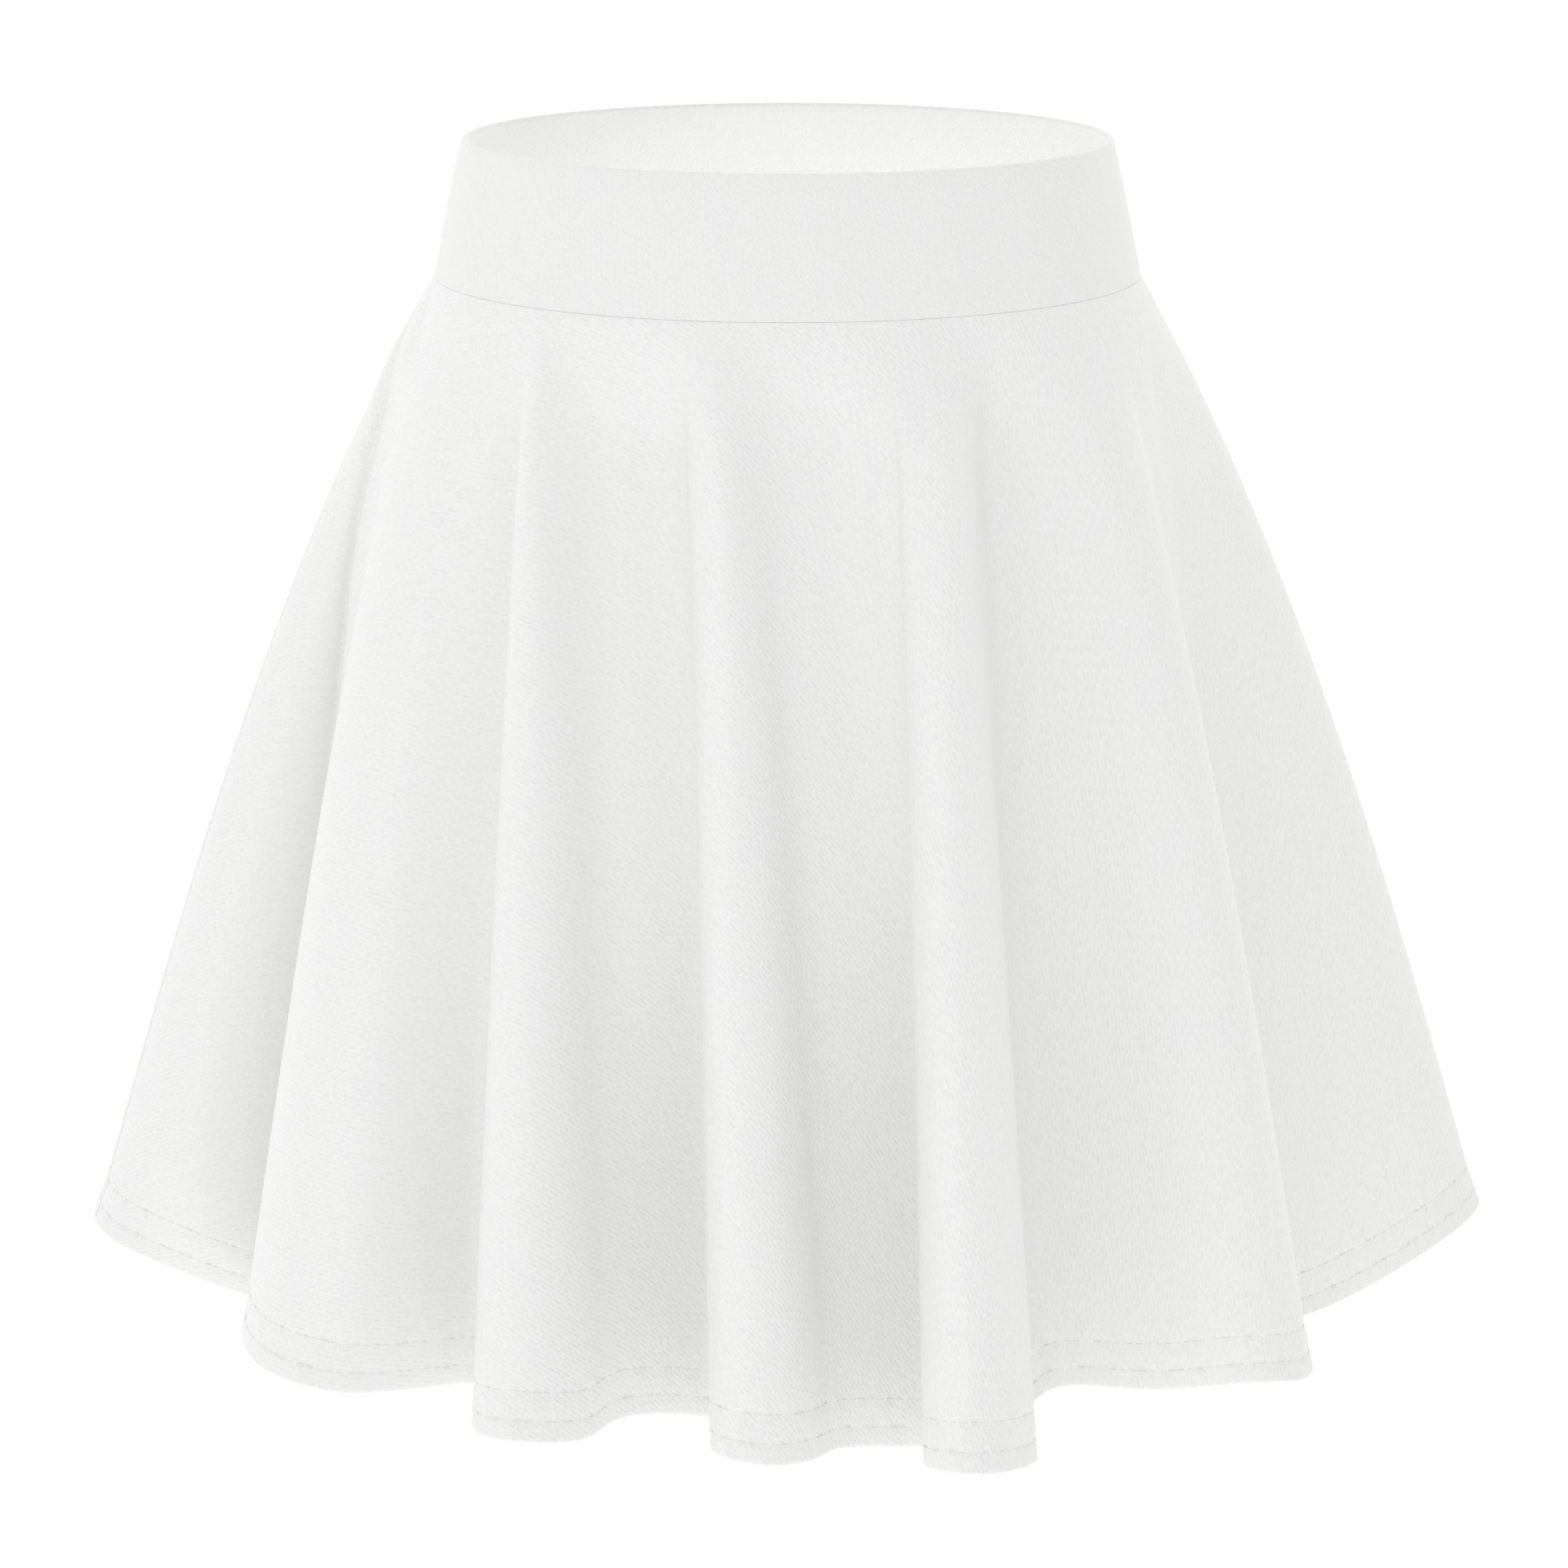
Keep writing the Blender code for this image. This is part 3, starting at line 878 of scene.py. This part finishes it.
left, right = cloth["sideSeams"]
stitches = stitchTree()
bandTree = waistbandTree()
halves = (
    ("Front", left, right, "front", 11),
    ("Back", right, left + 360, "back", 23),
)
for title, start, end, side, seed in halves:
    span = ringSpan(columns[:, 2], start, end)
    panel, angle, radius = skirtPanel(
        "skirt" + title, form, normals, levels, section, span, panelKnit
    )
    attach(panel, "root")
    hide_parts("skirt_" + side)
    sewing = hemStitches("hemStitches" + title, stitches, form, normals, levels, span, thread, seed)
    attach(sewing, "root")
    strip = waistbandHalf("waistband" + title, bandTree, start, end, waistKnit)
    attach(strip, "root")
    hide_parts("waistband_" + side)
    outerRadius = radius + cloth["length"]
    flatSize = (
        2 * outerRadius * math.sin(angle / 2),
        outerRadius - radius * math.cos(angle / 2),
    )
    area = angle / 2 * (outerRadius**2 - radius**2)
    seamRun = radius * angle
    bandArea = band["taperShare"] * seamRun * band["flatHeight"]
    band["flatHeight"]
    print(title, "half made, flat panel", [round(size, 3) for size in flatSize], round(area, 4))

studio = {
    "floorHeight": -1.05,
    "floorSize": 40.0,
    "floorColor": 0.8,
    "floorGlow": 0.46,
    "world": 0.78,
    "backdropGlow": 0.5,
    "rightShade": 0.15,
    "seenBackdrop": 1.05,
    "lampSize": 1.6,
}
# A row for each soft lamp: its name, where it stands and its power in watts. All face the skirt.
lampTable = [
    ("keyLamp", (-1.3, -2.15, 1.1), 4.8),
    ("frontLamp", (0.0, -2.6, 0.4), 3.8),
    ("topLamp", (0.0, 0.0, 2.4), 7.0),
    ("leftRimLamp", (-1.2, 1.6, 1.2), 3.5),
    ("rightRimLamp", (1.2, 1.6, 1.2), 8.0),
]
skirtMiddle = (0.0, 0.0, -0.2)
# A small bulb inside the skirt, as the photo's waist opening is light.
insideBulb = {
    "place": (0.0, 0.0, -0.16),
    "radius": 0.03,
    "power": 0.27,
}


def makeLamps():
    for name, place, power in lampTable:
        light = bpy.data.lights.new(name, "AREA")
        light.size = studio["lampSize"]
        light.energy = power
        lamp = bpy.data.objects.new(name, light)
        lamp.location = place
        facing = Vector(skirtMiddle) - Vector(place)
        lamp.rotation_euler = facing.to_track_quat("-Z", "Y").to_euler()
        scene.collection.objects.link(lamp)
    light = bpy.data.lights.new("insideBulb", "POINT")
    light.shadow_soft_size = insideBulb["radius"]
    light.energy = insideBulb["power"]
    bulb = bpy.data.objects.new("insideBulb", light)
    bulb.location = insideBulb["place"]
    scene.collection.objects.link(bulb)


def makeFloor():
    half, height = studio["floorSize"] / 2, studio["floorHeight"]
    corners = [(-half, -half, height), (half, -half, height), (half, half, height), (-half, half, height)]
    mesh = bpy.data.meshes.new("paleFloor")
    mesh.from_pydata(corners, [], [(0, 1, 2, 3)])
    floor = bpy.data.objects.new("paleFloor", mesh)
    scene.collection.objects.link(floor)
    material = bpy.data.materials.new("paleFloor")
    material.use_nodes = True
    shader = material.node_tree.nodes["Principled BSDF"]
    shader.inputs["Base Color"].default_value = (*(studio["floorColor"],) * 3, 1)
    shader.inputs["Roughness"].default_value = 1.0
    shader.inputs["Emission Color"].default_value = (1, 1, 1, 1)
    shader.inputs["Emission Strength"].default_value = studio["floorGlow"]
    mesh.materials.append(material)
    floor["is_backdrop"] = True


def makeWorld():
    world = bpy.data.worlds.new("softStudio")
    world.use_nodes = True
    graph = Graph(world.node_tree)
    sky = world.node_tree.nodes["Background"]
    seen = graph.node("ShaderNodeLightPath")["Is Camera Ray"]
    direction = graph.node("ShaderNodeSeparateXYZ", {}, {0: graph.node("ShaderNodeTexCoord")["Generated"]})
    glow = direction["Y"].math("MAXIMUM", 0.0) * studio["backdropGlow"] + studio["world"]
    glow -= direction["X"].math("MAXIMUM", 0.0) * studio["rightShade"]
    strength = glow + seen * (studio["seenBackdrop"] - glow)
    world.node_tree.links.new(strength.socket, sky.inputs["Strength"])
    sky.inputs["Color"].default_value = (1, 1, 1, 1)
    scene.world = world


# Fitted to the photo: metres, degrees, and millimetres for the sensor.
lens = {
    "distance": 1.6606,
    "height": 0.24285,
    "sideways": -0.0013,
    "pitch": 16.34,
    "focalPixels": 5671.0,
    "imagePixels": 1932.0,
    "sensorWidth": 36.0,
}


def makeCamera():
    camera = bpy.data.cameras.new("photoCamera")
    camera.sensor_width = lens["sensorWidth"]
    camera.lens = lens["focalPixels"] / lens["imagePixels"] * camera.sensor_width
    view = bpy.data.objects.new("photoCamera", camera)
    view.location = (lens["sideways"], -lens["distance"], lens["height"])
    view.rotation_euler = (math.radians(90 - lens["pitch"]), 0, 0)
    scene.collection.objects.link(view)
    scene.camera = view


makeFloor()
makeWorld()
makeLamps()
makeCamera()
scene.view_settings.view_transform = "Standard"
print("studio and camera ready")

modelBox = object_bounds()
boxes = {"cad": cadBox, "model": modelBox}
{name: [list(corner) for corner in box] for name, box in boxes.items()}
print("cad box", cadBox, "model box", modelBox)
